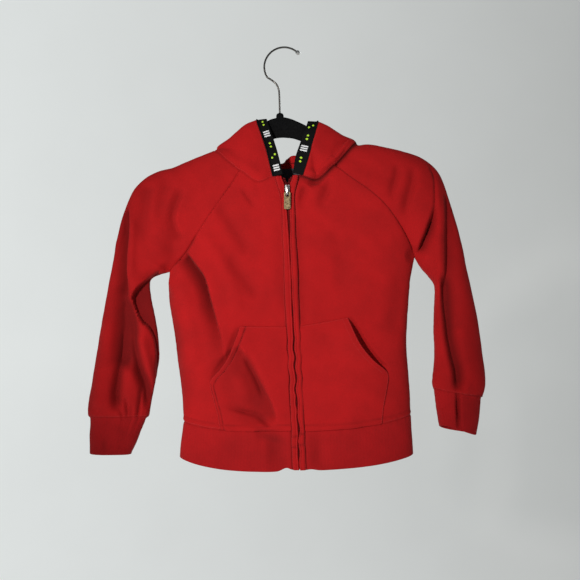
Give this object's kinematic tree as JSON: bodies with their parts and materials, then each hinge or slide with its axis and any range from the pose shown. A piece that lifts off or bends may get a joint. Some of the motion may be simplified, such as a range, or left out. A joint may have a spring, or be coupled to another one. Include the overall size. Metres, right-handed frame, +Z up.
{
  "type": "child's hooded zip jacket on a hanger",
  "caption": "Child's red fleece hooded jacket with a full zip, raglan sleeves, slant pockets and rib hem and cuffs, hung on a black velvet hanger with a wire hook.",
  "frame": {"origin": "inner top of the hanger's hook, where the rail or peg holds it", "axes": "+X across the garment to the wearer's left, +Y from its front to its back, +Z up"},
  "size_m": [0.5476, 0.1018, 0.5841],
  "materials": {
    "fleece_red": "brushed cotton fleece",
    "rib_red": "cotton rib knit",
    "tape_black": "woven binding tape",
    "patch_grey": "jersey",
    "zip_red": "woven zip tape with moulded teeth",
    "slider_silver": "bright plated metal",
    "pull_brass": "antique brass",
    "velvet_black": "flocked velvet over plastic",
    "hook_metal": "dark plated wire"
  },
  "bodies": {
    "garment": {"front_right": "fleece_red", "front_left": "fleece_red", "back": "fleece_red", "sleeve_right": "fleece_red", "sleeve_left": "fleece_red", "cuff_right": "rib_red", "cuff_left": "rib_red", "hem_band": "rib_red", "pocket_right": "fleece_red", "pocket_left": "fleece_red", "placket_right": "fleece_red", "placket_left": "fleece_red", "hood_right": "fleece_red", "hood_left": "fleece_red", "hood_tape": "tape_black", "neck_patch": "patch_grey", "zip_chain": "zip_red", "zip_slider": "slider_silver", "hanger_body": "velvet_black", "hanger_hook": "hook_metal", "hook_tip": "slider_silver"},
    "pull": {"zip_pull": "pull_brass"}
  },
  "joints": [
    {"name": "pull_swing", "type": "hinge", "parent": "garment", "child": "pull", "pos_m": [0.0064, -0.0288, -0.20743], "axis": [-1, 0, 0], "range_deg": [0, 120]}
  ]
}
